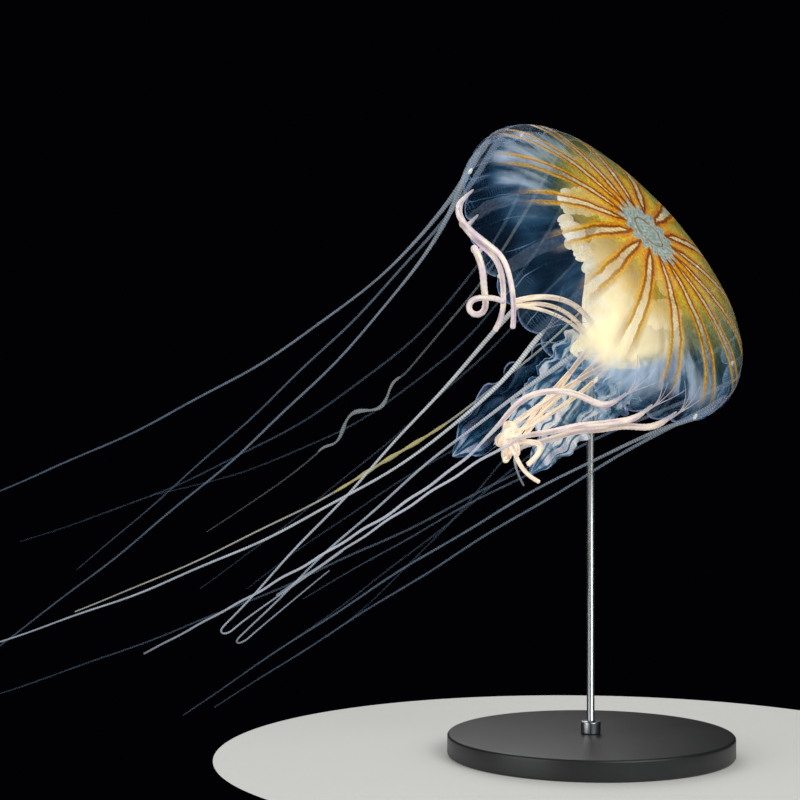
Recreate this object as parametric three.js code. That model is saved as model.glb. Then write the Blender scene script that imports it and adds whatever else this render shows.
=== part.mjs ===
// Northern sea nettle (Chrysaora melanaster), swimming, as a life-size display model on a stand.
// Units are millimetres, +Z is up, +X is the side the bell leads towards, -Y is the show side.
// The origin is the middle of the stand's underside, on the surface that it rests on.
//
// Anatomy followed here: a shallow bell whose margin is cut into 32 lappets, 24 tentacles in
// eight groups of three from the clefts between the lappets, four gonads round the stomach,
// and four frilled oral arms.

import * as THREE from 'three';

// --- The bell -------------------------------------------------------------------------------

const BELL_RADIUS = 100;
const BELL_HEIGHT = 38;
const BELL_FULLNESS = 2.3;        // 2 is an ellipse, more is boxier
const BELL_LIFT = 275;            // height of the bell's centre over the floor
const AXIS_RISE = 42.5;           // degrees of the swimming direction above level, seen from -Y
const AXIS_LEAN = 26;             // degrees that the crown turns towards -Y
const MARGIN_TILT = 15;           // the near rim hangs by this much and the far rim is raised by it
const MARGIN_RISE = 3;            // the whole rim stands this much above the centre
const CROWN_SHIFT = 9;            // the crown sits off centre, towards the near rim
const CROWN_THICKNESS = 13;       // jelly at the crown
const RIM_THICKNESS = 2.4;        // jelly where the lappets start
const LAPPET_THICKNESS = 0.9;
const LAPPET_COUNT = 32;
const LAPPET_LENGTH = 7.5;
const CLEFT_LENGTH = 1.5;         // how far the rim runs below the bell between two lappets
const STEPS_PER_LAPPET = 3;
const GROUP_COUNT = 8;            // groups of three tentacles

// --- The body under the bell ----------------------------------------------------------------

const STOMACH_TOP = 24.4;          // along the bell's axis, from its centre
const STOMACH_BOTTOM = -25;
const STOMACH_RADIUS = 23;
const MOUTH_RADIUS = 18;
const MOUTH_SAG = [18.6, -11, -31]; // the trunk hangs this far off the bell's axis at its mouth
const GONAD_RING = 42;            // radius of the ring the four gonads lie on
const GONAD_THICKNESS = 16;
const GONAD_LEVEL = 14;
const GONAD_SPAN = 72;            // degrees of the ring that one gonad takes
const GONAD_LOBES = 4;
const FIRST_GONAD = 22.5;         // degrees round the bell
const ARM_ROOT_RADIUS = 13;
const ARM_THICKNESS = 2;
const ARM_ROOT_WIDTH = 7;
const ARM_ROOT_DROP = 4;

// --- The tentacles --------------------------------------------------------------------------

const TENTACLE_ROOT = 1.8;        // radius where a tentacle leaves its cleft
const TENTACLE_MID = 0.85;
const TENTACLE_TIP = 0.5;
const SHORT_ROOT = 2.2;           // the same for a tentacle that is drawn up short and thick
const SHORT_TIP = 1.5;
const TENTACLE_SIDES = 5;
const TENTACLE_STEPS = 8;
const ROOT_LEAD = 2;              // straight start of a tentacle, away from the rim
const SHORT_LEAD = 8;
const GAP = 0.4;                  // clear space between neighbouring solids
const JOINT_GAP = 0.7;            // the same between two lengths of a tentacle

// --- The stand ------------------------------------------------------------------------------

const BASE_RADIUS = 82;
const BASE_THICKNESS = 12;
const BASE_EDGE = 2;
const ROD_RADIUS = 2.2;
const ROD_X = -6;                 // where the rod stands, from the bell's centre
const ROD_Y = 10;

// --- Directions of the bell -----------------------------------------------------------------

const rad = THREE.MathUtils.degToRad;
const vec = (x, y, z) => new THREE.Vector3(x, y, z);
const centre = vec(-ROD_X, -ROD_Y, BELL_LIFT);
const axis = vec(
  Math.cos(rad(AXIS_LEAN)) * Math.cos(rad(AXIS_RISE)),
  -Math.sin(rad(AXIS_LEAN)),
  Math.cos(rad(AXIS_LEAN)) * Math.sin(rad(AXIS_RISE)),
);
const across = vec(Math.sin(rad(AXIS_RISE)), 0, -Math.cos(rad(AXIS_RISE)));
const near = new THREE.Vector3().crossVectors(across, axis);

// A point in the bell's own directions: round the axis, out from it and along it.
function inBell(angle, radius, height, push = 0) {
  return centre.clone()
    .addScaledVector(across, radius * Math.cos(angle))
    .addScaledVector(near, radius * Math.sin(angle) + push)
    .addScaledVector(axis, height);
}

// A point of the bell. station runs from 0 at the crown to 1 at the rim, depth goes into the jelly.
function bellPoint(angle, station, depth) {
  const turn = station * Math.PI / 2;
  const radius = BELL_RADIUS * Math.sin(turn) ** (2 / BELL_FULLNESS) - depth * Math.sin(turn);
  const dome = BELL_HEIGHT * Math.max(0, Math.cos(turn)) ** (2 / BELL_FULLNESS) - depth * Math.cos(turn);
  const rim = station ** 3;
  const height = dome + rim * (MARGIN_RISE - MARGIN_TILT * Math.sin(angle));
  return inBell(angle, Math.max(0, radius), height, CROWN_SHIFT * (1 - station) ** 2);
}

// --- Solids from rings of points ------------------------------------------------------------

// One closed solid through a row of rings. A ring of one point closes an end to a point,
// and a wider end ring is closed with a flat fan.
function loft(rings) {
  const points = [];
  const faces = [];
  const starts = rings.map((ring) => {
    const start = points.length;
    points.push(...ring);
    return start;
  });
  const fan = (tip, start, count, flip) => {
    for (let i = 0; i < count; i += 1) {
      const a = start + i;
      const b = start + (i + 1) % count;
      faces.push(flip ? [tip, a, b] : [tip, b, a]);
    }
  };
  for (let r = 0; r + 1 < rings.length; r += 1) {
    const count = Math.max(rings[r].length, rings[r + 1].length);
    if (rings[r].length === 1) {
      fan(starts[r], starts[r + 1], count, true);
    } else if (rings[r + 1].length === 1) {
      fan(starts[r + 1], starts[r], count, false);
    } else {
      for (let i = 0; i < count; i += 1) {
        const j = (i + 1) % count;
        const [a, b] = [starts[r] + i, starts[r] + j];
        const [c, d] = [starts[r + 1] + i, starts[r + 1] + j];
        faces.push([a, c, b], [b, c, d]);
      }
    }
  }
  for (const [ring, start, flip] of [[rings[0], starts[0], true], [rings.at(-1), starts.at(-1), false]]) {
    if (ring.length > 1) {
      const middle = ring.reduce((sum, p) => sum.add(p), vec(0, 0, 0)).divideScalar(ring.length);
      points.push(middle);
      fan(points.length - 1, start, ring.length, flip);
    }
  }
  let volume = 0;
  for (const [a, b, c] of faces) {
    volume += points[a].dot(new THREE.Vector3().crossVectors(points[b], points[c]));
  }
  const geometry = new THREE.BufferGeometry().setFromPoints(points);
  geometry.setIndex(faces.flatMap(([a, b, c]) => (volume > 0 ? [a, b, c] : [a, c, b])));
  geometry.computeVertexNormals();
  return geometry;
}

// Directions square to a path at each of its points, carried along without twisting.
function carriedFrames(points) {
  const frames = [];
  let side = vec(0, 1, 0);
  points.forEach((point, i) => {
    const before = points[Math.max(0, i - 1)];
    const after = points[Math.min(points.length - 1, i + 1)];
    const forward = after.clone().sub(before).normalize();
    side = side.clone().addScaledVector(forward, -side.dot(forward)).normalize();
    frames.push({ side, up: new THREE.Vector3().crossVectors(forward, side) });
  });
  return frames;
}

function tube(points, radiusAt, sides) {
  const frames = carriedFrames(points);
  return loft(points.map((point, i) => {
    const radius = radiusAt(i / (points.length - 1));
    return Array.from({ length: sides }, (_, k) => {
      const turn = 2 * Math.PI * k / sides;
      return point.clone()
        .addScaledVector(frames[i].side, radius * Math.cos(turn))
        .addScaledVector(frames[i].up, radius * Math.sin(turn));
    });
  }));
}

// --- The scene graph ------------------------------------------------------------------------

const model = new THREE.Group();
model.name = 'northern_sea_nettle';

const material = (color, roughness, metalness = 0) =>
  new THREE.MeshStandardMaterial({ color, roughness, metalness });
const finishes = {
  bell: material(0xc9a24e, 0.35),
  stomach: material(0xf3e6c4, 0.45),
  gonad: material(0xfaf2e2, 0.5),
  arm: material(0xb9cbe0, 0.4),
  tentacle: material(0xa7aebf, 0.4),
  short: material(0xe9d7c8, 0.45),
  base: material(0x26282b, 0.35),
  rod: material(0xb8bcc0, 0.25, 1),
};

function add(name, geometry, finish) {
  const mesh = new THREE.Mesh(geometry, finish);
  mesh.name = name;
  model.add(mesh);
}

// --- Bell -----------------------------------------------------------------------------------

const bellSteps = LAPPET_COUNT * STEPS_PER_LAPPET;
const FIRST_CLEFT = 0;            // degrees round the bell; every cleft follows from it
const stepAngle = (i) => rad(FIRST_CLEFT) + 2 * Math.PI * i / bellSteps;
const OUTER_STATIONS = [0.12, 0.26, 0.4, 0.54, 0.68, 0.81, 0.92, 1];
const INNER_STATIONS = [1, 0.86, 0.7, 0.53, 0.36, 0.18];

function jellyDepth(station) {
  return THREE.MathUtils.lerp(CROWN_THICKNESS, RIM_THICKNESS, station ** 1.4);
}

function lappetEdge(angle, reach, inward) {
  const rim = bellPoint(angle, 1, 0);
  const inwards = inBell(angle, -1, 0).sub(centre);
  return rim.addScaledVector(axis, -reach).addScaledVector(inwards, inward);
}

function bellRing(pointAt) {
  return Array.from({ length: bellSteps }, (_, i) => pointAt(stepAngle(i), i));
}

const reachOf = (i) => (i % STEPS_PER_LAPPET === 0 ? CLEFT_LENGTH : LAPPET_LENGTH);
add('bell', loft([
  [bellPoint(0, 0, 0)],
  ...OUTER_STATIONS.map((s) => bellRing((angle) => bellPoint(angle, s, 0))),
  bellRing((angle, i) => lappetEdge(angle, reachOf(i), 0.6)),
  bellRing((angle, i) => lappetEdge(angle, reachOf(i), 0.6 + LAPPET_THICKNESS)),
  ...INNER_STATIONS.map((s) => bellRing((angle) => bellPoint(angle, s, jellyDepth(s)))),
  [bellPoint(0, 0, CROWN_THICKNESS)],
]), finishes.bell);

// --- Stomach and gonads ---------------------------------------------------------------------

// The stomach's trunk leaves the crown along the bell's axis and hangs down towards its mouth.
const trunk = inBell(0, 0, STOMACH_TOP).sub(inBell(0, 0, STOMACH_BOTTOM).add(vec(...MOUTH_SAG)));
const mouthAxis = trunk.normalize();
const level = new THREE.Quaternion();
const hung = new THREE.Quaternion().setFromUnitVectors(axis, mouthAxis);

// A point round the trunk's own middle line. height is measured as along the bell's axis.
function inTrunk(angle, radius, height, push = 0) {
  const share = (STOMACH_TOP - height) / (STOMACH_TOP - STOMACH_BOTTOM);
  const middle = inBell(0, 0, height, push).addScaledVector(vec(...MOUTH_SAG), share ** 1.5);
  const aside = inBell(angle, radius, 0).sub(centre);
  return middle.add(aside.applyQuaternion(level.clone().slerp(hung, Math.min(1, share))));
}

// The stomach ends in the four-cornered mouth.
function stomachRing(height, radius, push) {
  return Array.from({ length: 16 }, (_, i) => {
    const angle = rad(FIRST_GONAD) + 2 * Math.PI * i / 16;
    const corner = 1 - 0.08 * Math.cos(4 * (angle - rad(FIRST_GONAD)));
    return inTrunk(angle, radius * corner, height, push);
  });
}

add('stomach', loft([
  [inTrunk(0, 0, STOMACH_TOP, CROWN_SHIFT)],
  stomachRing(STOMACH_TOP - 1, STOMACH_RADIUS * 0.6, CROWN_SHIFT * 0.8),
  stomachRing(STOMACH_TOP - 6, STOMACH_RADIUS, CROWN_SHIFT * 0.5),
  stomachRing(6, STOMACH_RADIUS * 0.95, 0),
  stomachRing(-8, STOMACH_RADIUS * 0.86, 0),
  stomachRing(STOMACH_BOTTOM, MOUTH_RADIUS, 0),
]), finishes.stomach);

// A gonad is a fat, lobed arc under the jelly, outside the stomach.
for (let g = 0; g < 4; g += 1) {
  const middle = rad(FIRST_GONAD + 90 * g);
  const steps = 4 * GONAD_LOBES;
  const path = Array.from({ length: steps + 1 }, (_, i) => {
    const angle = middle + rad(GONAD_SPAN) * (i / steps - 0.5);
    return inBell(angle, GONAD_RING, GONAD_LEVEL, CROWN_SHIFT * 0.3);
  });
  const lobed = (t) => {
    const lobe = 0.82 + 0.18 * Math.abs(Math.sin(Math.PI * GONAD_LOBES * t));
    const ends = Math.sin(Math.PI * THREE.MathUtils.clamp(t, 0.06, 0.94)) ** 0.35;
    return GONAD_THICKNESS / 2 * lobe * ends;
  };
  add(`gonad_${g + 1}`, tube(path, lobed, 7), finishes.gonad);
}

// --- Oral arms ------------------------------------------------------------------------------

const fromCentre = ([x, y, z]) => centre.clone().add(vec(x, y, z));

// A curve that leaves its root towards the first point and arrives at the second.
const bend = (root, knee, end) => new THREE.QuadraticBezierCurve3(root, knee, end);

// Each arm hangs from one corner of the mouth as a curved ribbon with waved edges.
// knee and tip are from the bell's centre, and facing is the way its flat side looks.
const ORAL_ARMS = [
  { angle: 67.5, knee: [-12, -20, -72], tip: [-43, -24, -114], width: 36, waves: 3.5, facing: [0.2, -1, 0.1] },
  { angle: 157.5, knee: [-30, 0, -64], tip: [-62, 2, -98], width: 24, waves: 3, facing: [-0.3, -1, 0.2] },
  { angle: 247.5, knee: [-44, 34, -70], tip: [-84, 48, -106], width: 46, waves: 2.5, facing: [0.1, -1, 0.1] },
  { angle: 337.5, knee: [12, 20, -66], tip: [-4, 28, -92], width: 38, waves: 3, facing: [0.4, -1, 0] },
];
const ARM_STEPS = 13;
const ARM_ACROSS = 4;

ORAL_ARMS.forEach((arm, index) => {
  const corner = inTrunk(rad(arm.angle), ARM_ROOT_RADIUS, STOMACH_BOTTOM);
  const root = corner.addScaledVector(mouthAxis, -ARM_ROOT_DROP);
  const curve = bend(root, fromCentre(arm.knee), fromCentre(arm.tip));
  const facing = vec(...arm.facing).normalize();
  const rings = Array.from({ length: ARM_STEPS + 1 }, (_, i) => {
    const t = i / ARM_STEPS;
    const point = curve.getPoint(t);
    const forward = curve.getTangent(t);
    const sideways = new THREE.Vector3().crossVectors(forward, facing).normalize();
    const normal = new THREE.Vector3().crossVectors(sideways, forward).normalize();
    const swell = Math.sin(Math.PI * Math.min(1, 0.04 + t * 0.96) ** 0.8) ** 0.6;
    const half = (ARM_ROOT_WIDTH + (arm.width - ARM_ROOT_WIDTH) * t ** 0.5 * swell) / 2;
    const row = (face) => Array.from({ length: ARM_ACROSS + 1 }, (__, k) => {
      const v = 2 * k / ARM_ACROSS - 1;
      const wave = 4 * t * v * v * Math.sin(2 * Math.PI * arm.waves * t + v * 1.2);
      const cup = -3 * t * v * v;
      return point.clone()
        .addScaledVector(sideways, half * v)
        .addScaledVector(normal, wave + cup + face * ARM_THICKNESS / 2 * (1 - 0.45 * v * v));
    });
    return [...row(1), ...row(-1).reverse()];
  });
  add(`oral_arm_${index + 1}`, loft(rings), finishes.arm);
});

// --- Tentacles ------------------------------------------------------------------------------

// Each tentacle leaves its cleft towards `knee` and drifts to `tip`, both from the bell's centre.
// Where `tip2` is given it carries on past the first tip for `carry` and bends to the second.
// `turn` is the radius of a hook at the first tip, from which it runs back to `back`; a negative
// one turns away from `back` first and closes into a loop.
const TENTACLES = [
  { angle: 348.75, knee: [0, 42, -88], tip: [-175, 92, -195] },
  { angle: 0, knee: [12, -14, -96], tip: [-226, 56, -256] },
  { angle: 11.25, knee: [-18, -32, -96], tip: [-242, 34, -257] },
  { angle: 33.75, short: true, knee: [-8, -60, -84], tip: [-48, -62, -97], carry: 12, tip2: [-48, -50, -119] },
  { angle: 45, short: true, knee: [-16, -74, -84], tip: [-50, -76, -92], carry: 12, tip2: [-182, -52, -178] },
  { angle: 56.25, short: true, knee: [-42, -88, -55], tip: [-62, -78, -84], carry: 48, tip2: [-262, 12, -218] },
  { angle: 78.75, knee: [-110, -34, -108], tip: [-208, 20, -210], turn: 4.5, back: [-156, 34, -172] },
  { angle: 90, knee: [-104, -98, -133], tip: [-388, 40, -226] },
  { angle: 101.25, knee: [-115, -56, -94], tip: [-214, -20, -199], turn: 4, back: [-146, -36, -155] },
  { angle: 123.75, short: true, knee: [-71, -84, 2], tip: [-70, -80, -28], turn: -4.8, back: [-62, -102, -22], lead: 5 },
  { angle: 135, short: true, knee: [-79, -88, 10], tip: [-66, -92, -8], carry: 16, tip2: [-66, -89, -37], lead: 5 },
  { angle: 146.25, short: true, knee: [-87, -90, 20], tip: [-66, -101, 4], carry: 15, tip2: [-57, -97, -36], lead: 5 },
  { angle: 168.75, knee: [-100, 8, -38], tip: [-388, 48, -244] },
  { angle: 180, knee: [-126, 18, -52], tip: [-445, 62, -160] },
  { angle: 191.25, knee: [-95, 38, 4], tip: [-312, 80, -176] },
  { angle: 213.75, knee: [-76, 66, -76], tip: [-350, 98, -160] },
  { angle: 225, knee: [-86, 88, -62], tip: [-236, 112, -155] },
  { angle: 236.25, knee: [-74, 116, -94], tip: [-276, 150, -134] },
  { angle: 258.75, knee: [-84, 136, -80], tip: [-246, 166, -196] },
  { angle: 270, knee: [-50, 56, -98], tip: [-314, 84, -202] },
  { angle: 281.25, knee: [-90, 122, -172], tip: [-162, 136, -224] },
  { angle: 303.75, knee: [-84, 92, -156], tip: [-204, 112, -238] },
  { angle: 315, knee: [-80, 96, -88], tip: [-212, 124, -192] },
  { angle: 326.25, knee: [-114, 60, -172], tip: [-382, 72, -258] },
];

// Points along a curve, spaced evenly by length.
function sampled(curve, steps, from = 0, to = 1) {
  return Array.from({ length: steps + 1 }, (_, i) => curve.getPointAt(from + (to - from) * i / steps));
}

// A hook: half a circle square to the show side from where the path arrives, then on to its end.
function hookPoints(start, direction, turn, end, steps) {
  const radius = Math.abs(turn);
  const towards = end.clone().sub(start).setY(0).multiplyScalar(Math.sign(turn));
  const side = towards.addScaledVector(direction, -towards.dot(direction)).normalize();
  const middle = start.clone().addScaledVector(side, radius);
  const arc = Array.from({ length: 6 }, (_, i) => {
    const turn = Math.PI * i / 6;
    return middle.clone()
      .addScaledVector(side, -radius * Math.cos(turn))
      .addScaledVector(direction, radius * Math.sin(turn));
  });
  const leave = start.clone().addScaledVector(side, 2 * radius);
  const way = bend(leave, leave.clone().addScaledVector(direction, -8), end);
  return [...arc, ...sampled(way, steps - 4)];
}

function shortened(points, cut) {
  const direction = points[1].clone().sub(points[0]).normalize();
  return [points[0].clone().addScaledVector(direction, cut), ...points.slice(1)];
}

TENTACLES.forEach((row, index) => {
  const angle = rad(row.angle);
  const rootRadius = row.short ? SHORT_ROOT : TENTACLE_ROOT;
  const drop = CLEFT_LENGTH + (rootRadius + GAP) / 0.72;
  const root = lappetEdge(angle, drop, 0.6 + LAPPET_THICKNESS / 2);
  const leave = root.clone().addScaledVector(axis, -(row.lead ?? (row.short ? SHORT_LEAD : ROOT_LEAD)));
  const first = bend(leave, fromCentre(row.knee), fromCentre(row.tip));
  const direction = first.getTangent(1);
  let lengths;
  if (row.turn) {
    lengths = [
      sampled(first, TENTACLE_STEPS),
      hookPoints(first.getPoint(1), direction, row.turn, fromCentre(row.back), TENTACLE_STEPS),
    ];
  } else if (row.tip2) {
    const tip = fromCentre(row.tip);
    const onward = tip.clone().addScaledVector(direction, row.carry);
    const second = bend(tip, onward, fromCentre(row.tip2));
    lengths = [sampled(first, TENTACLE_STEPS), sampled(second, TENTACLE_STEPS)];
  } else {
    lengths = [sampled(first, TENTACLE_STEPS, 0, 0.5), sampled(first, TENTACLE_STEPS, 0.5, 1)];
  }
  lengths[0].unshift(root);
  lengths[1] = shortened(lengths[1], JOINT_GAP);
  const radii = row.short
    ? [(t) => SHORT_ROOT - 0.3 * t, (t) => SHORT_ROOT - 0.3 - (SHORT_ROOT - 0.3 - SHORT_TIP) * t]
    : [
      (t) => TENTACLE_MID + (TENTACLE_ROOT - TENTACLE_MID) * (1 - t) ** 3,
      (t) => TENTACLE_MID + (TENTACLE_TIP - TENTACLE_MID) * t,
    ];
  const number = String(index + 1).padStart(2, '0');
  ['a', 'b'].forEach((letter, i) => {
    const finish = row.short ? finishes.short : finishes.tentacle;
    add(`tentacle_${number}${letter}`, tube(lengths[i], radii[i], TENTACLE_SIDES), finish);
  });
});

// --- Stand ----------------------------------------------------------------------------------

// A round plate with a small chamfer, and one rod up to the underside of the stomach.
const plateProfile = [
  [0, 0],
  [BASE_RADIUS, 0],
  [BASE_RADIUS, BASE_THICKNESS - BASE_EDGE],
  [BASE_RADIUS - BASE_EDGE, BASE_THICKNESS],
  [0, BASE_THICKNESS],
].map(([r, z]) => new THREE.Vector2(r, z));
const plate = new THREE.LatheGeometry(plateProfile, 48);
plate.rotateX(Math.PI / 2);
add('stand_base', plate, finishes.base);

const mouthSlope = Math.hypot(mouthAxis.x, mouthAxis.y) / mouthAxis.z;
const rodTop = inTrunk(0, 0, STOMACH_BOTTOM).dot(mouthAxis) / mouthAxis.z - ROD_RADIUS * mouthSlope - GAP;
const rod = new THREE.CylinderGeometry(ROD_RADIUS, ROD_RADIUS, rodTop - BASE_THICKNESS - GAP, 16);
rod.rotateX(Math.PI / 2);
rod.translate(0, 0, (rodTop + BASE_THICKNESS + GAP) / 2);
add('stand_rod', rod, finishes.rod);

export default model;
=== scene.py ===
# %% [markdown]
# # A northern sea nettle on a display stand
# This notebook dresses a swimming jellyfish that a museum shows on a slim rod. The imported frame
# gives every solid its place. What is made here is the living look: clear jelly with ray
# markings, cream gonads, frilled oral arms and beaded tentacles.
#
# Lengths are written in millimetres, as a modeller would read them off a specimen, and each
# finished mesh is scaled to Blender's metres once, at its end.

# %% The frame and the units
import functools
from math import copysign, cos, floor, inf, pi, radians, sin, tau

import bmesh
import bpy
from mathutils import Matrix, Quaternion, Vector, noise


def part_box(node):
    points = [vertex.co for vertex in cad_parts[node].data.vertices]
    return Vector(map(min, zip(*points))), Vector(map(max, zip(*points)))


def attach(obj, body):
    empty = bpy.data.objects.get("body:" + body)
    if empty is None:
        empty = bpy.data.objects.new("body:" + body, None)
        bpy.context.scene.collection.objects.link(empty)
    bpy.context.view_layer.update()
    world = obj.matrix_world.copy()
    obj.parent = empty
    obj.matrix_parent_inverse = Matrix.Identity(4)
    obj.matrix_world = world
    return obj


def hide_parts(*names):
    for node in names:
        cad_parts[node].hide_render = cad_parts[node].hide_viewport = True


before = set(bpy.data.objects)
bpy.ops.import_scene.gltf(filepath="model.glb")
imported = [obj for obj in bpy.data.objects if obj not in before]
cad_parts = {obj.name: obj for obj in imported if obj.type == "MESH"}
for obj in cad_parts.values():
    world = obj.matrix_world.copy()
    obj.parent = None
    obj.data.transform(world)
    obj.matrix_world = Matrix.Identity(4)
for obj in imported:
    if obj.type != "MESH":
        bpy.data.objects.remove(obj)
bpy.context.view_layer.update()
MM = 0.001
print("nodes in the frame:", len(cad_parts))

# %% [markdown]
# ## Helpers
# A node tree is easier to read when each node is one call, so one small function adds a node,
# sets its fields and links its inputs. Colours are written as sRGB hex values, the way a colour
# picker shows them, and one function turns them into the linear values that shaders use. Masks
# on the mesh rise and fall by a ramp.

# %% Nodes, colours and ramps
def linear(hex_colour):
    """An sRGB hex colour as linear RGBA."""
    channels = [int(hex_colour[i:i + 2], 16) / 255 for i in (1, 3, 5)]
    curve = [c / 12.92 if c <= 0.04045 else ((c + 0.055) / 1.055) ** 2.4 for c in channels]
    return (*curve, 1)


def fill(node, *values, **named):
    """Fills a node's open inputs in their order, and whatever is given by name.

    A name that begins with a capital is an input, such as Base_Color, and any other is a field
    of the node. A node given as a value stands for its first open output.
    """
    for name, value in named.items():
        if name[0].islower():
            setattr(node, name, value)
    open_inputs = [socket for socket in node.inputs if socket.enabled]
    by_name = [(node.inputs[name.replace("_", " ")], value)
               for name, value in named.items() if name[0].isupper()]
    for socket, value in (*zip(open_inputs, values), *by_name):
        if isinstance(value, bpy.types.Node):
            value = next(output for output in value.outputs if output.enabled)
        if isinstance(value, bpy.types.NodeSocket):
            node.id_data.links.new(value, socket)
        else:
            socket.default_value = value


def add_node(tree, kind, *values, stops=(), **named):
    """Adds a node and fills it.

    A kind in capitals is the operation of a Math node. stops are the points of a colour ramp,
    each a place and a hex colour or a grey.
    """
    if kind.isupper():
        named["operation"], kind = kind, "Math"
    node = tree.nodes.new("ShaderNode" + kind)
    fill(node, *values, **named)
    while stops and len(node.color_ramp.elements) < len(stops):
        node.color_ramp.elements.new(0.5)
    for i, (place, colour) in enumerate(stops):
        point = node.color_ramp.elements[i]
        point.position = place
        point.color = linear(colour) if isinstance(colour, str) else (colour, colour, colour, 1)
    return node


def new_finish(name, **constants):
    """A material, its Principled shader filled with plain values, and how to add nodes to it."""
    finish = bpy.data.materials.new(name)
    finish.use_nodes = True
    shader = finish.node_tree.nodes["Principled BSDF"]
    fill(shader, **constants)
    return finish, shader, functools.partial(add_node, finish.node_tree)


def sources(add, *layers):
    """What markings are worked out from.

    It gives the map named lie, the share across it and the decimetres along it, the place on the
    object, and the numbers that the mesh holds in its layers.
    """
    chart = add("UVMap", uv_map="lie")
    across, along_dm, _ = add("SeparateXYZ", chart).outputs
    coords = add("TexCoord").outputs["Object"]
    return chart, across, along_dm, coords, *(
        add("Attribute", attribute_name=layer).outputs["Fac"] for layer in layers)


SMOOTH = {"interpolation_type": "SMOOTHSTEP"}
# Jelly is nearly all water, so it bends light a little more than water does.
WET_JELLY = {"IOR": 1.36, "Specular_IOR_Level": 0.2}


def grain(size):
    """The scale of a texture on object coordinates whose features are `size` millimetres."""
    return 1 / (size * MM)


def ramp(value, start, stop):
    """0 before start, 1 past stop and even in between. The stop may lie below the start."""
    return min(1, max(0, (value - start) / (stop - start)))


print("an ochre in linear light:", [round(c, 3) for c in linear("#d9920f")])

# %% [markdown]
# ## Rolled grids
# Almost every part of a jellyfish is a thin-walled or round body that follows a curve, so one
# tool makes them all. A flat grid is created with its own map, each of its points is moved to
# where the shape wants it, and the long edges, which now touch, are merged. That closes tubes,
# domes and ribbons without a seam, and the map still says where each point is round and along
# the piece, which the markings need.

# %% Rolling a grid into a closed skin
SEAM = 1e-3  # points nearer than this are one, mm


def roll(bm, columns, rows, place, lie=lambda u, v: (u, v), layers=None, second=None):
    """Adds a grid to bm. Its point at u round and v along goes to place(u, v), in millimetres.

    lie(u, v) is the point's place on the map named lie. layers gives further numbers for each
    point, as name: number, or name: function of u and v. Faces for which second(u, v) is true,
    at their middle, take the piece's second finish.
    """
    chart = bm.loops.layers.uv.get("lie") or bm.loops.layers.uv.new("lie")
    for name in layers or {}:
        if bm.verts.layers.float.get(name) is None:
            bm.verts.layers.float.new(name)
    corners = bmesh.ops.create_grid(bm, x_segments=columns, y_segments=rows, size=0.5)["verts"]
    faces = {face for corner in corners for face in corner.link_faces}
    flat = {corner: (corner.co.x + 0.5, corner.co.y + 0.5) for corner in corners}
    for face in faces:
        for loop in face.loops:
            loop[chart].uv = lie(*flat[loop.vert])
        if second:
            places = [flat[corner] for corner in face.verts]
            face.material_index = int(second(*(sum(axis) / len(places) for axis in zip(*places))))
    for name, number in (layers or {}).items():
        layer = bm.verts.layers.float[name]
        for corner in corners:
            corner[layer] = number(*flat[corner]) if callable(number) else number
    for corner in corners:
        corner.co = place(*flat[corner])
    bmesh.ops.remove_doubles(bm, verts=corners, dist=SEAM)


def new_object(name, data):
    thing = bpy.data.objects.new(name, data)
    bpy.context.scene.collection.objects.link(thing)
    return thing


def new_piece(name, bm, finishes):
    """An object with bm's mesh, which wears the finishes."""
    mesh = bpy.data.meshes.new(name)
    bm.to_mesh(mesh)
    bm.free()
    for finish in finishes:
        mesh.materials.append(finish)
    return new_object(name, mesh)


def finish_piece(name, bm, finishes, replaced):
    """Turns bm, in millimetres, into a piece that rides on the frame and stands for its nodes."""
    bmesh.ops.recalc_face_normals(bm, faces=bm.faces)
    bmesh.ops.scale(bm, vec=(MM, MM, MM), verts=bm.verts)
    piece = new_piece(name, bm, finishes)
    piece.data.shade_smooth()
    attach(piece, "root")
    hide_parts(*replaced)
    piece.data.calc_loop_triangles()
    print(name, "has", len(piece.data.loop_triangles), "triangles")


# %% [markdown]
# ## The bell's directions
# A swimming jellyfish is easiest to describe round its own axis: an angle round it, a distance
# out from it and a height along it. These are the same driving dimensions that the solids have,
# and the box of the bell's solid shows that the two agree.

# %% Driving dimensions of the bell
BELL_RADIUS = 100
BELL_HEIGHT = 38
BELL_FULLNESS = 2.3
CENTRE = Vector((6, -10, 275))
AXIS_RISE = radians(42.5)
AXIS_LEAN = radians(26)
MARGIN_TILT = 15
MARGIN_RISE = 3
CROWN_SHIFT = 9
CROWN_THICKNESS = 13
RIM_THICKNESS = 2.4
LAPPET_THICKNESS = 0.9
LAPPETS = 32
LAPPET_LENGTH = 7.5
CLEFT_LENGTH = 1.5
RAYS = 16

AXIS = Vector((
    cos(AXIS_LEAN) * cos(AXIS_RISE),
    -sin(AXIS_LEAN),
    cos(AXIS_LEAN) * sin(AXIS_RISE),
))
ACROSS = Vector((sin(AXIS_RISE), 0, -cos(AXIS_RISE)))
NEAR = ACROSS.cross(AXIS)


def in_bell(angle, radius, height, push=0.0):
    """A point round the bell's axis, in millimetres."""
    side = ACROSS * (radius * cos(angle)) + NEAR * (radius * sin(angle) + push)
    return CENTRE + side + AXIS * height


def outwards(angle, radius=1):
    """The way out from the axis at this angle, radius millimetres long."""
    return in_bell(angle, radius, 0) - CENTRE


def flute(angle, station):
    """Furrows that run in from the clefts, and the slow unevenness of living jelly."""
    cleft = abs(cos(LAPPETS / 2 * angle)) ** 5
    slow = noise.noise(Vector((2 * cos(angle), 2 * sin(angle), 2.5 * station)))
    return 1.6 * station ** 2 * slow - 1.0 * cleft * station ** 9


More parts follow.
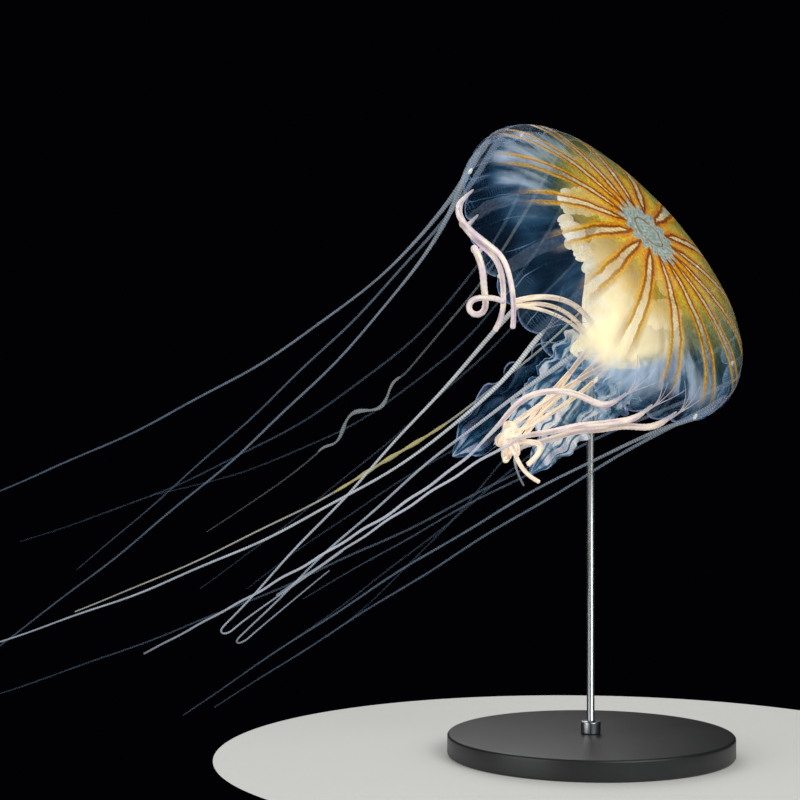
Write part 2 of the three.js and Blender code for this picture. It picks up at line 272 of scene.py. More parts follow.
def dome(angle, station, depth):
    """A point of the bell. station is 0 at the crown and 1 at the rim, depth is into the jelly."""
    turn = station * pi / 2
    reach = sin(turn) ** (2 / BELL_FULLNESS)
    rise = max(0.0, cos(turn)) ** (2 / BELL_FULLNESS)
    radius = BELL_RADIUS * reach - depth * sin(turn) + flute(angle, station)
    rim = station ** 3 * (MARGIN_RISE - MARGIN_TILT * sin(angle))
    height = BELL_HEIGHT * rise - depth * cos(turn) + rim
    return in_bell(angle, max(0.0, radius), height, CROWN_SHIFT * (1 - station) ** 2)


def jelly_depth(station):
    return CROWN_THICKNESS + (RIM_THICKNESS - CROWN_THICKNESS) * station ** 1.4


bell_low, bell_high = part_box("bell")
edge = [dome(radians(a), s / 40, 0) for a in range(360) for s in range(41)]
for i, letter in enumerate("xyz"):
    print(letter, "of the dome, mm:", round(min(p[i] for p in edge)), round(max(p[i] for p in edge)),
          "and of its solid:", round(bell_low[i] / MM), round(bell_high[i] / MM))

# %% [markdown]
# ## The bell's skin
# The skin is one closed surface: over the crown to the rim, round the edge of the lappets and
# back up under the jelly. The number that runs along it is the distance from the crown in
# millimetres, so that the markings can be drawn to size.

# %% Rows of the bell, from the crown outside to the crown inside
OUTER_ROWS = 64
LAPPET_ROWS = 7
INNER_ROWS = 40
COLUMNS = LAPPETS * 15


def lengths_along(points):
    """Distance from the first point to each of them, along the string."""
    lengths = [0.0]
    for before, after in zip(points, points[1:]):
        lengths.append(lengths[-1] + (after - before).length)
    return lengths


def arcs_over(count):
    """Distance from the crown to each of the rows over the jelly."""
    return lengths_along([dome(pi / 2, i / count, 0) for i in range(count + 1)])


def stretch(kind, arcs):
    """The rows of one stretch: what it is, the share of the stretch and the distance out."""
    return [(kind, i / (len(arcs) - 1), arc) for i, arc in enumerate(arcs)]


outer_arcs = arcs_over(OUTER_ROWS)
RIM_ARC = outer_arcs[-1]
lappet_arcs = [RIM_ARC + LAPPET_LENGTH * i / LAPPET_ROWS for i in range(LAPPET_ROWS + 1)]
# Over the crown to the rim, down the lappets, round their edge and back up the inside.
rows = [*stretch("outer", outer_arcs), *stretch("lappet", lappet_arcs)[1:],
        ("tip", 1.0, RIM_ARC + LAPPET_LENGTH + 0.5),
        *stretch("under", lappet_arcs)[:0:-1], *stretch("inner", arcs_over(INNER_ROWS))[::-1]]
print("from crown to rim over the jelly:", round(RIM_ARC, 1), "mm, in", len(rows), "rows")


# %% Where each point of the skin goes
def lappet_point(angle, share, side):
    """A point of a lappet. share is 0 at the rim and 1 at its edge.

    side is lappet for the outside, tip for the very edge, and under for the inside.
    """
    lobe = abs(sin(LAPPETS / 2 * angle)) ** 0.55
    hang = CLEFT_LENGTH + (LAPPET_LENGTH - CLEFT_LENGTH) * lobe
    number = floor(angle * LAPPETS / tau)
    curl = 1.6 + 1.8 * noise.noise(Vector((number * 1.7, 3.1, 0.4)))
    inward = {"lappet": 0.6, "tip": 1.05, "under": 0.6 + LAPPET_THICKNESS}[side]
    inward += curl * share ** 2 * lobe - 0.7 * lobe * sin(pi * share)
    extra = 0.35 if side == "tip" else 0.0
    inwards = outwards(angle, -1)
    return dome(angle, 1, 0) - AXIS * (hang * share + extra) + inwards * inward * share ** 0.3


def row_at(v):
    return rows[round(v * (len(rows) - 1))]


def bell_point(u, v):
    kind, share, _ = row_at(v)
    angle = tau * u
    if kind in ("outer", "inner"):
        return dome(angle, share, jelly_depth(share) if kind == "inner" else 0)
    return lappet_point(angle, share, kind)


def ray_place(u, v):
    """Turns round the markings and decimetres from the crown. The star sits off the crown."""
    _, _, arc = row_at(v)
    angle = tau * u
    off = radians(6) * cos(angle) * (1 - min(1, arc / RIM_ARC) ** 4)
    return (u - off / tau, arc / 100)


def ray_spacing(u, v):
    """Millimetres from one ray to the next at this distance from the crown."""
    kind, share, _ = row_at(v)
    reach = sin(share * pi / 2) ** (2 / BELL_FULLNESS) if kind in ("outer", "inner") else 1
    return tau * BELL_RADIUS * reach / RAYS


# Sides of the bell in degrees round it, and arcs in millimetres from the crown.
CLEAR_SIDE = 112
WINDOW_SIDE = 39
WINDOW_ARC = 111
LINING_SIDE = 64
# Each milky patch's side, how narrow it is and the arc where it ends.
VEIL_PATCHES = ((52, 14, 118), (66, 22, 122), (172, 8, 106))


def towards(u, middle, narrow):
    """1 on the side at this angle in degrees, falling to 0 opposite, faster when narrow is high."""
    return (0.5 + 0.5 * cos(tau * u - radians(middle))) ** narrow


def window(u, v):
    """A clear window in the jelly by the lower near rim."""
    _, _, arc = row_at(v)
    return towards(u, WINDOW_SIDE, 90) * ramp(abs(arc - WINDOW_ARC), 10, 5)


def sector(u, v):
    """1 where the jelly is clearest, at the near rim to the viewer's left and in the window."""
    return max(towards(u, CLEAR_SIDE, 1), window(u, v))


def veil(u, v):
    """Where the tissue is milky: by the lower near rim, below the stomach, and up the rim."""
    _, _, arc = row_at(v)
    thickest = max(towards(u, side, narrow) * ramp(arc, end, end - 14)
                   for side, narrow, end in VEIL_PATCHES)
    return ramp(arc, 58, 74) * (1 - window(u, v)) * thickest


def lining(u, v):
    """Where the lining by the near side of the stomach is thick, and where it is given a painted glow.

    Its foot narrows, and leans to the viewer's left as the stomach does.
    """
    _, _, arc = row_at(v)
    foot = ramp(arc, 80, 100)
    band = ramp(arc, 34, 52) * ramp(arc, 130, 112)
    return band * (1 + 0.25 * foot) * towards(u, LINING_SIDE + 9 * foot, 16 + 16 * foot)


# %% [markdown]
# ## Jelly with ray markings
# The bell of this species is clear, stiff jelly. Its outer skin carries sixteen pale rays, each
# edged by two thin brown lines that meet in a point near the crown, on an ochre wash that thins
# out to clear blue at the rim. A blue-grey star lies over the crown. All of it is pigment in
# wet, clear tissue, so colour and see-through share come from the same masks: where pigment is
# thick the skin is nearly solid, and where it is thin the water shows.
#
# The masks are worked out from the map: the turn round the crown gives the distance to the
# nearest ray's middle, in millimetres, and the distance from the crown says how far out we are.

# %% The outer skin of the bell
def beside_line(add, turns, spacing, sway):
    """Millimetres to the nearest of some even lines, which pass where turns is a half."""
    part = add("FRACT", turns)
    off = add("SUBTRACT", part, 0.5)
    off_mm = add("MULTIPLY", off, spacing)
    swayed = add("ADD", off_mm, sway)
    return add("ABSOLUTE", swayed)


def ray_marked_jelly():
    finish, shader, add = new_finish("ray_marked_jelly", Roughness=0.34, **WET_JELLY)
    chart, across, along_dm, coords, spacing, clear = sources(add, "spacing", "sector")
    out = add("MULTIPLY", along_dm, 100)

    # Three noises: the slow wobble of the lines, the grain of the pigment and clouds in the wash.
    wobble = add("TexNoise", coords, grain(13), 2)
    speck = add("TexNoise", coords, grain(1.5), 3)
    cloud = add("TexNoise", coords, grain(20), 4)

    turns = add("MULTIPLY", across, RAYS)
    half = add("ADD", turns, 0.5)
    sway = add("MapRange", wobble, 0.3, 0.7, -0.8, 0.8)
    aside = beside_line(add, half, spacing, sway)

    # Half the width of a pale ray: a point at 17 mm from the crown, 2.2 at 32 and 4.2 at the rim.
    young = add("MapRange", out, 17, 31, 0, 2.1, **SMOOTH)
    older = add("MapRange", out, 28, 100, 0, 2.1)
    half_width = add("ADD", young, older)
    from_line = add("SUBTRACT", aside, half_width)
    line_off = add("ABSOLUTE", from_line)
    ragged = add("MapRange", speck, 0.3, 0.7, -0.4, 0.4)
    line_dist = add("ADD", line_off, ragged)

    # The lines fade out earlier where the bell is clearest, and so does the ochre wash.
    clearest = add("POWER", clear, 6)
    line_pull = add("MULTIPLY_ADD", clearest, 24, out)
    line_reach = add("MapRange", line_pull, 88, 116, 1, 0, **SMOOTH)
    line_start = add("MapRange", out, 16, 19)
    line_span = add("MULTIPLY", line_reach, line_start)
    core = add("MapRange", line_dist, 0.5, 1.5, 1, 0, **SMOOTH)
    core_mask = add("MULTIPLY", core, line_span)
    outer_side = add("MapRange", from_line, -1.1, -0.2)
    halo = add("MapRange", line_dist, 1, 5.4, 1, 0, **SMOOTH)
    halo_side = add("MULTIPLY", halo, outer_side)
    halo_mask = add("MULTIPLY", halo_side, line_span)
    inside = add("MapRange", from_line, -0.5, 0.1, 1, 0)
    inside_mask = add("MULTIPLY", inside, line_start)

    # The ground between the rays: ochre at the crown, then olive, then clear blue at the rim.
    pull = add("MapRange", out, 38, 82, 0, 58)
    wash_pull = add("MULTIPLY_ADD", clear, pull, out)
    drift = add("MapRange", cloud, 0.25, 0.75, -14, 14)
    wash_out = add("ADD", wash_pull, drift)
    along = add("MapRange", wash_out, 0, 150)
    wash = add("ValToRGB", along, stops=[
        (0.14, "#e8b222"), (0.28, "#e6c238"), (0.42, "#cabb40"), (0.56, "#a0ae66"), (0.72, "#6f968c"),
        (0.92, "#4a7cb0")])
    wash_cover = add("ValToRGB", along, stops=[
        (0.16, 0.96), (0.3, 0.76), (0.44, 0.44), (0.58, 0.25), (0.74, 0.12), (0.92, 0.05)])
    pale = add("ValToRGB", along, stops=[
        (0.16, "#f2da92"), (0.32, "#f2e6b6"), (0.5, "#e2deb0"), (0.64, "#c2cab8"), (0.85, "#93aed2")])
    pale_cover = add("ValToRGB", along, stops=[
        (0.16, 0.9), (0.32, 0.66), (0.48, 0.46), (0.68, 0.26), (0.9, 0.14)])

    # Fine pale canals that fork towards the rim: noise drawn out along the rays.
    stretched = add("Mapping", chart, Scale=(110, 1.2, 1))
    canal_noise = add("TexNoise", stretched, 1, 2, Distortion=0.3)
    canal = add("MapRange", canal_noise, 0.56, 0.7, 0, 0.34, **SMOOTH)
    canal_start = add("MapRange", out, 50, 85)
    canal_thin = add("MULTIPLY_ADD", clearest, -0.8, 1)
    canal_share = add("MULTIPLY", canal_start, canal_thin)
    canal_mask = add("MULTIPLY", canal, canal_share)

    # The edge of the lappets is thicker tissue, and shows as a pale blue outline.
    hem = add("MapRange", out, RIM_ARC + 4.5, RIM_ARC + LAPPET_LENGTH, 0, 0.8)
    hem_speck = add("MULTIPLY", hem, speck)

    glow_tint = add("ValToRGB", along, stops=[
        (0.2, "#dc8406"), (0.45, "#e8a00a"), (0.6, "#ecb01a"), (0.75, "#dcae34")])
    halo_cover = add("MULTIPLY", halo_mask, 0.9)
    line_tint = add("ValToRGB", along, stops=[
        (0.2, "#8a4204"), (0.45, "#965204"), (0.6, "#aa6e0c"), (0.75, "#ba8616")])

    # The star over the crown: its points reach out between the rays, and a thin ring lies in it.
    point_turn = add("MULTIPLY", turns, tau)
    point_wave = add("COSINE", point_turn)
    star_edge = add("MULTIPLY_ADD", point_wave, -3.2, 19.5)
    star_sway = add("MULTIPLY_ADD", sway, 2.4, star_edge)
    star_in = add("SUBTRACT", star_sway, out)
    star = add("MapRange", star_in, -0.6, 1.2, **SMOOTH)
    ring_off = add("ADD", out, -10)
    ring_swayed = add("MULTIPLY_ADD", sway, 1.6, ring_off)
    ring_dist = add("ABSOLUTE", ring_swayed)
    ring = add("MapRange", ring_dist, 0.2, 0.8, 0.85, 0)
    star_grain = add("ValToRGB", speck, stops=[(0.3, "#7d9a96"), (0.7, "#bccac0")])
    star_ringed = add("Mix", ring, star_grain, linear("#8a5412"), data_type="RGBA")
    star_cover = add("MULTIPLY", star, 0.94)

    # Over the ground lie the glow beside the lines, the lines, the canals and the star.
    colour = add("Mix", inside_mask, wash, pale, data_type="RGBA")
    cover = add("Mix", inside_mask, wash_cover, pale_cover)
    for mask, tint, share in (
            (halo_mask, glow_tint, halo_cover), (core_mask, line_tint, core_mask),
            (canal_mask, linear("#d3ddf2"), canal_mask), (star, star_ringed, star_cover)):
        colour = add("Mix", mask, colour, tint, data_type="RGBA")
        cover = add("MAXIMUM", cover, share)
    hemmed = add("Mix", hem, colour, linear("#a9c6f4"), data_type="RGBA")

    # Pigment lies in grains, so colour and cover are both stippled.
    stipple = add("MapRange", speck, 0.3, 0.7, 0.72, 1.12)
    stippled = add("Mix", 1, hemmed, stipple, data_type="RGBA", blend_type="MULTIPLY")
    grain_cover = add("MULTIPLY", cover, stipple)
    cover = add("ADD", grain_cover, hem_speck, use_clamp=True)

    # Warts a millimetre across roughen the wet surface.
    bump = add("Bump", Height=speck, Strength=0.25, Distance=0.4 * MM)
    fill(shader, Base_Color=stippled, Alpha=cover, Normal=bump)
    return finish


# %% The inner skin of the bell
MUSCLE_STEP = 1.7  # from one ring of muscle to the next, mm


def clear_underskin():
    """Clear tissue under the bell, with rings of swimming muscle and fine pale partitions."""
    finish, shader, add = new_finish("clear_underskin", Roughness=0.35, **WET_JELLY)
    chart, across, along_dm, coords, spacing, clear, milky, near = sources(
        add, "spacing", "sector", "veil", "lining")
    out = add("MULTIPLY", along_dm, 100)
    cloud = add("TexNoise", coords, grain(24), 5)
    wobble = add("TexNoise", coords, grain(16), 1)

    # Muscle: fine rings, in patches between the partitions.
    bent = add("MULTIPLY_ADD", wobble, 9, out)
    phase = add("MULTIPLY", bent, tau / MUSCLE_STEP)
    ring = add("COSINE", phase)
    ring_line = add("MapRange", ring, 0.3, 0.95, 0, 0.3)
    patch = add("MapRange", cloud, 0.48, 0.6)
    muscle = add("MULTIPLY", ring_line, patch)

    # Partitions: fine pale lines, two for each ray, that run out to the clefts.
    turns = add("MULTIPLY", across, 2 * RAYS)
    half_spacing = add("MULTIPLY", spacing, 0.5)
    bow = add("MapRange", wobble, 0.3, 0.7, -1.8, 1.8)
    aside = beside_line(add, turns, half_spacing, bow)
    partition_line = add("MapRange", aside, 0.1, 0.6, 0.42, 0)
    partition_share = add("MapRange", cloud, 0.4, 0.6, 0.3, 1)
    partition = add("MULTIPLY", partition_line, partition_share)
    lines = add("MAXIMUM", muscle, partition)
    away = add("MapRange", out, 38, 60)
    shown = add("MULTIPLY", lines, away)

    # Milky haze, drawn out along the rays: least on the clearest side of the rim, most in the veil.
    drawn_out = add("Mapping", chart, Scale=(46, 2.2, 1))
    strands = add("TexNoise", drawn_out, 1, 4, Distortion=0.7)
    streak = add("Mix", 0.6, cloud, strands)
    haze = add("MapRange", streak, 0.4, 0.66, 0.03, 0.3)
    milk = add("MapRange", clear, 0.6, 0.95, 1, 0.2)
    hazed = add("MULTIPLY", haze, milk)
    veiled = add("MapRange", streak, 0.38, 0.6, 0.24, 0.86)
    thick = add("MULTIPLY_ADD", veiled, milky, hazed)
    clear_cover = add("MAXIMUM", shown, thick)
    tint = add("ValToRGB", clear_cover, stops=[(0.03, "#174c70"), (0.2, "#4e88b4"), (0.5, "#bcd4ec")])

    # Over the stomach and the gonads the lining is cream, like the tissue it holds, and golden
    # towards the crown. By the near side it is given a painted glow of its own colour.
    pouch_edge = add("MULTIPLY_ADD", cloud, 26, out)
    pouch_reach = add("MULTIPLY_ADD", near, -46, pouch_edge)
    pouch = add("MapRange", pouch_reach, 56, 80, 1, 0, **SMOOTH)
    pouch_cover = add("MULTIPLY_ADD", near, 0.2, 0.58)
    lined = add("MULTIPLY", pouch, pouch_cover)
    cover = add("MAXIMUM", clear_cover, lined, use_clamp=True)
    pouch_tint = add("ValToRGB", along_dm, stops=[
        (0.3, "#e9ae34"), (0.48, "#f2cf76"), (0.64, "#fdeebe")])
    pouched = add("Mix", pouch, tint, pouch_tint, data_type="RGBA")
    # Painted glow: an emission of the lining's own colour, by the near side, scaled by the streaks.
    fold = add("MapRange", streak, 0.4, 0.62, 0.19, 0.39)
    painted_glow_reach = add("MULTIPLY", near, pouch)
    painted_glow = add("MULTIPLY", painted_glow_reach, fold)
    fill(shader, Base_Color=pouched, Emission_Color=pouched, Emission_Strength=painted_glow, Alpha=cover)
    return finish


# %% Make the bell
UNDERSIDE_FROM = sum(kind in ("outer", "lappet", "tip") for kind, _, _ in rows) / (len(rows) - 1)
bell = bmesh.new()
roll(bell, COLUMNS, len(rows) - 1, place=bell_point, lie=ray_place,
     layers={"spacing": ray_spacing, "sector": sector, "veil": veil, "lining": lining},
     second=lambda u, v: v > UNDERSIDE_FROM)
finish_piece("bell_skin", bell, [ray_marked_jelly(), clear_underskin()], ["bell"])

# %% [markdown]
# ## Stomach and gonads
# Under the crown hangs the stomach, a short pleated trunk that ends in a four-cornered mouth.
# Round it lie four gonads, frilled cream bodies like strings of beads. Both are dense tissue and
# nearly solid, so they are what shows brightest through the clear bell. Each is a rolled grid:
# the trunk follows a profile from the crown to the lip, the gonads follow an arc.

# %% The stomach
STOMACH_TOP = 24.4
STOMACH_BOTTOM = -25
MOUTH_SAG = Vector((18.6, -11, -31))
MOUTH_TURN = radians(22.5)
# Radius and height, down the outside to the lip and up the inside again.
STOMACH_PROFILE = [
    (0, STOMACH_TOP), (12, 23.6), (20, 20), (21.5, 12), (19, 2), (16, -8), (14, -16), (14, -21),
    (16.5, STOMACH_BOTTOM), (17, -27.5), (14.5, -28), (11, -24), (8, -14), (0, -8)]
trunk = in_bell(0, 0, STOMACH_TOP) - in_bell(0, 0, STOMACH_BOTTOM) - MOUTH_SAG
HUNG = AXIS.rotation_difference(trunk)


def in_trunk(angle, radius, height, push=0.0):
    """A point round the trunk, which leaves the crown along the bell's axis and hangs down."""
    share = max(0, (STOMACH_TOP - height) / (STOMACH_TOP - STOMACH_BOTTOM))
    middle = in_bell(0, 0, height, push) + MOUTH_SAG * share ** 1.5
    return middle + Quaternion().slerp(HUNG, min(1, share)) @ outwards(angle, radius)


def along_profile(profile, share):
    """A point on a smooth curve through the profile's points, at a share of its steps."""
    place = share * (len(profile) - 1)
    start = min(int(place), len(profile) - 2)
    t = place - start
    ends = [profile[max(0, min(len(profile) - 1, start + i))] for i in (-1, 0, 1, 2)]
    weights = (-0.5 * t ** 3 + t ** 2 - 0.5 * t, 1.5 * t ** 3 - 2.5 * t ** 2 + 1,
               -1.5 * t ** 3 + 2 * t ** 2 + 0.5 * t, 0.5 * t ** 3 - 0.5 * t ** 2)
    return tuple(sum(w * end[axis] for w, end in zip(weights, ends)) for axis in (0, 1))


def stomach_point(u, v):
    angle = tau * u
    radius, height = along_profile(STOMACH_PROFILE, v)
    lower = ramp(height, 20, STOMACH_BOTTOM)
    corner = 1 - (0.04 + 0.12 * lower) * cos(4 * (angle - MOUTH_TURN))
    waver = noise.noise(Vector((1.4 * cos(angle), 1.4 * sin(angle), v * 4)))
    pleat = 1 + 0.05 * lower * sin(22 * angle + 5 * waver)
    lump = 1.6 * noise.noise(in_bell(angle, radius, height) * 0.1)
    push = CROWN_SHIFT * max(0, height / STOMACH_TOP) ** 1.5
    ends = sin(pi * v) ** 0.2
    return in_trunk(angle, radius * corner * pleat + lump * ends, height, push)


print("the mouth lies, mm:", [round(side) for side in in_trunk(0, 0, STOMACH_BOTTOM)])


# %% The gonads
GONAD_RING = 42
GONAD_THICKNESS = 14
GONAD_LEVEL = 14
GONAD_SPAN = radians(76)
GONAD_BEADS = 7


def gonad_point(number):
    middle = MOUTH_TURN + pi / 2 * number

    def point(u, v):
        angle = middle + GONAD_SPAN * (v - 0.5)
        wander = 2.6 * sin(GONAD_BEADS * pi * v + number)
        turn = tau * u
        bead = 0.48 + 0.52 * abs(sin(pi * GONAD_BEADS * v)) ** 0.7
        ends = sin(pi * min(0.985, max(0.015, v))) ** 0.35 if 0 < v < 1 else 0
        radius = GONAD_THICKNESS / 2 * bead * ends
        round_it = outwards(angle) * (1.1 * radius * cos(turn))
        round_it += AXIS * (0.95 * radius * sin(turn))
        base = in_bell(angle, GONAD_RING + wander, GONAD_LEVEL, CROWN_SHIFT * 0.3) + round_it
        crease = max(0, 1 - 6 * abs(noise.noise(base * 0.14)))
        return base - round_it * (0.34 * crease)

    return point


# %% [markdown]
# ## Gonad and stomach tissue
# Ripe gonads are opaque, cream and slightly yellow in their folds, with a fine grain of eggs.
# Light goes a little way in, which is what subsurface scattering is for. The clear bell round
# them gathers light as a lens does, which a thin modelled skin can't, so a faint glow of their
# own colour stands in for it.

# %% Finishes of the dense tissue
def grainy_tissue(name, light, dark, grain_mm, painted_glow=0.0):
    finish, shader, add = new_finish(
        name, Roughness=0.42, IOR=1.38, Subsurface_Weight=0.25, Subsurface_Scale=2 * MM,
        Emission_Strength=painted_glow)
    coords = add("TexCoord").outputs["Object"]
    cloud = add("TexNoise", coords, grain(7), 4)
    eggs = add("TexVoronoi", coords, grain(grain_mm))
    mottle = add("ValToRGB", cloud, stops=[(0.35, dark), (0.62, light)])
    bump = add("Bump", Height=eggs, Strength=0.5, Distance=0.5 * MM, invert=True)
    # The emission is a painted glow in the tissue's own mottled colour.
    fill(shader, Base_Color=mottle, Emission_Color=mottle, Normal=bump)
    return finish


stomach = bmesh.new()
roll(stomach, columns=168, rows=90, place=stomach_point)
finish_piece("stomach_skin", stomach, [grainy_tissue("stomach_tissue", "#fff4d6", "#f8e0a2", 1.1, 0.3)],
             ["stomach"])

gonads = bmesh.new()
for number in range(4):
    roll(gonads, columns=72, rows=132, place=gonad_point(number))
finish_piece("gonad_skin", gonads, [grainy_tissue("gonad_tissue", "#fffaec", "#f4e8c6", 0.9, 0.28)],
             [f"gonad_{number + 1}" for number in range(4)])

# %% [markdown]
# ## Oral arms
# Four oral arms hang from the corners of the mouth. Each is a thin curtain on a thicker
# mid-rib: near its edges there is more membrane than the arm is long, so it gathers into frills,
# large folds first and a fine ruffle at the very hem. A rolled grid makes both faces of the
# membrane at once, and the waves grow towards the hem.

# %% The arms' curves and frills
ARM_ROOT_RADIUS = 12.5
ARM_THICKNESS = 1.6
ARM_ROOT_WIDTH = 24
# Angle of the root; knee and tip from the bell's centre; width; big waves; the way it faces;
# and how milky its membrane is, from 0, glass clear, to 1.
ARMS = [
    (67.5, (-12, -20, -72), (-43, -24, -114), 36, 3.5, (0.2, -1, 0.1), 0.85),
    (157.5, (-30, 0, -64), (-62, 2, -98), 24, 3, (-0.3, -1, 0.2), 0.6),
    (247.5, (-44, 34, -70), (-84, 48, -106), 46, 2.5, (0.1, -1, 0.1), 0.1),
    (337.5, (12, 20, -66), (-4, 28, -92), 38, 3, (0.4, -1, 0), 0.7),
]


def bend(root, knee, end, t):
    """A point of the curve that leaves root towards knee and arrives at end."""
    return root * (1 - t) ** 2 + knee * (2 * t * (1 - t)) + end * t ** 2


def arm_point(arm):
    angle, knee, tip, width, waves, facing, _ = arm
    root = in_trunk(radians(angle), ARM_ROOT_RADIUS, STOMACH_BOTTOM + 3)
    knee = CENTRE + Vector(knee)
    tip = CENTRE + Vector(tip)
    facing = Vector(facing).normalized()

    def point(u, t):
        side, face = (4 * u - 1, 1) if u <= 0.5 else (3 - 4 * u, -1)
        middle = bend(root, knee, tip, t)
        forward = (bend(root, knee, tip, t + 0.01) - bend(root, knee, tip, t - 0.01)).normalized()
        sideways = forward.cross(facing).normalized()
        normal = sideways.cross(forward).normalized()
        swell = sin(pi * min(1, 0.04 + t * 0.96) ** 0.8) ** 0.6 if t < 1 else 0
        half = (ARM_ROOT_WIDTH * (1 - t ** 4) + (width - ARM_ROOT_WIDTH) * t ** 0.5 * swell) / 2
        ripple = noise.noise(Vector((t * 5, side * 1.3, angle)))
        half *= 1 + 0.14 * sin(tau * waves * 2 * t + 2 * ripple)
        hem = abs(side)
        phase = tau * waves * t + 1.2 * side
        fold = 4.0 * t * hem ** 2 * sin(phase) - 3.0 * t * hem ** 2
        frill = 2.6 * hem ** 3 * sin(3.7 * phase + 4 * ripple)
        ruffle = 0.9 * hem ** 8 * sin(8 * phase + 6 * ripple)
        opened = min(1, 4 * t) * min(1, 8 * (1 - t))
        wave = fold + (frill + ruffle) * opened + 2.5 * ripple * opened
        skin = ARM_THICKNESS / 2 * (1 - hem ** 2) ** 0.5 * (0.35 + 0.65 * (1 - hem)) * min(1, 12 * t)
        # All of it runs together in a point at the tip.
        ending = min(1, 12 * (1 - t))
        return middle + sideways * (half * side) + normal * ((wave + face * skin) * ending)

    return point


# %% [markdown]
# ## Arm membrane
# The membrane is a wet, glass-clear film that turns milky where it is gathered, with white
# specks of stinging tissue and a blue-white hem. Near the mouth it is as dense and cream as the
# stomach, so the arms grow out of it without a border.

# %% The finish of the arms
def frilled_membrane():
    finish, shader, add = new_finish("frilled_membrane", Roughness=0.34, **WET_JELLY)
    chart, across, along_dm, coords, milk = sources(add, "milk")
    cloud = add("TexNoise", coords, grain(15), 5, Distortion=0.6)
    folds = add("Mapping", chart, Scale=(3.4, 1.2, 1))
    fold = add("TexNoise", folds, 1, 4, Distortion=0.9)
    dots = add("TexVoronoi", coords, grain(2.0))
    speck = add("MapRange", dots, 0.08, 0.18, 0.45, 0)
    hem = add("MapRange", across, 0.93, 1, 0, 0.8, **SMOOTH)
    folded = add("MapRange", fold, 0.41, 0.58, 0.12, 1, **SMOOTH)
    clouded = add("MapRange", cloud, 0.36, 0.58, 0.15, 1, **SMOOTH)
    gathered = add("MULTIPLY", folded, clouded)
    milky = add("MULTIPLY", gathered, milk)
    film = add("MULTIPLY_ADD", milk, 0.16, 0.03)
    body = add("ADD", milky, film)
    specked = add("MAXIMUM", body, speck)
    hemmed = add("MAXIMUM", specked, hem)
    lip = add("MapRange", along_dm, 0.05, 0.45, 0.6, 0, **SMOOTH)
    cover = add("MAXIMUM", hemmed, lip, use_clamp=True)
    tint = add("ValToRGB", body, stops=[
        (0.05, "#0f3f62"), (0.22, "#4a8ec0"), (0.5, "#cae2f4"), (0.9, "#f8f9f8")])
    violet = add("MapRange", fold, 0.56, 0.68, 0, 0.5)
    for mask, hex_colour in ((violet, "#cdb9e6"), (hem, "#b9d2fa"), (lip, "#fbf1da")):
        tint = add("Mix", mask, tint, linear(hex_colour), data_type="RGBA")
    fill(shader, Base_Color=tint, Alpha=cover)
    return finish


arms = bmesh.new()
for arm in ARMS:
    milk = arm[-1]
    roll(arms, columns=112, rows=170, place=arm_point(arm),
         lie=lambda u, v: (abs(4 * u - 1) if u <= 0.5 else abs(3 - 4 * u), 3 * v),
         layers={"milk": lambda u, v, milk=milk: min(1, milk + 0.6 * max(0, v - 0.8) / 0.2)})
finish_piece("oral_arm_skin", arms, [frilled_membrane()],
             [f"oral_arm_{number + 1}" for number in range(4)])

# %% [markdown]
# ## Tentacles
# Twenty-four tentacles leave the rim in eight groups of three, from the clefts between the
# lappets. Most trail far back as thin threads; six near ones are drawn up short and thick, and
# some of those hook, loop and tangle. Each thread here follows the same bend as its solids, from
# a root sunk in the rim's jelly to a fine tip, in one piece, so no joint shows between its two
# lengths.
#
# A path is worked out as a string of points, its kinks are smoothed away, and a grid is rolled
# round it. The beads are rings of stinging tissue: the radius swells at an even step along it.

# %% Driving dimensions of the tentacles
TENTACLE_ROOT = 1.45
STOUT_ROOT = 2.1
TENTACLE_MID = 0.66
TENTACLE_TIP = 0.36
SHORT_ROOT = 1.9
SHORT_TIP = 1.35
GAP = 0.4
BEAD = 2.6  # from one swelling to the next
RING = 1.4  # from one drawn ring to the next
PATH_STEP = 1.2  # between the points of a path
POINT_STEP = 0.65  # between the rows of a thread's grid
# The radius of a solid at its root, and how far it runs straight on before it bends.
SOLID_ROOT = {"long": 1.8, "knotted": 2.2, "roped": 2.2}
LEAD = {"long": 2, "knotted": 8, "roped": 5}
CLEFT_SLOPE = 0.72  # how much clear space a step away from the cleft gives

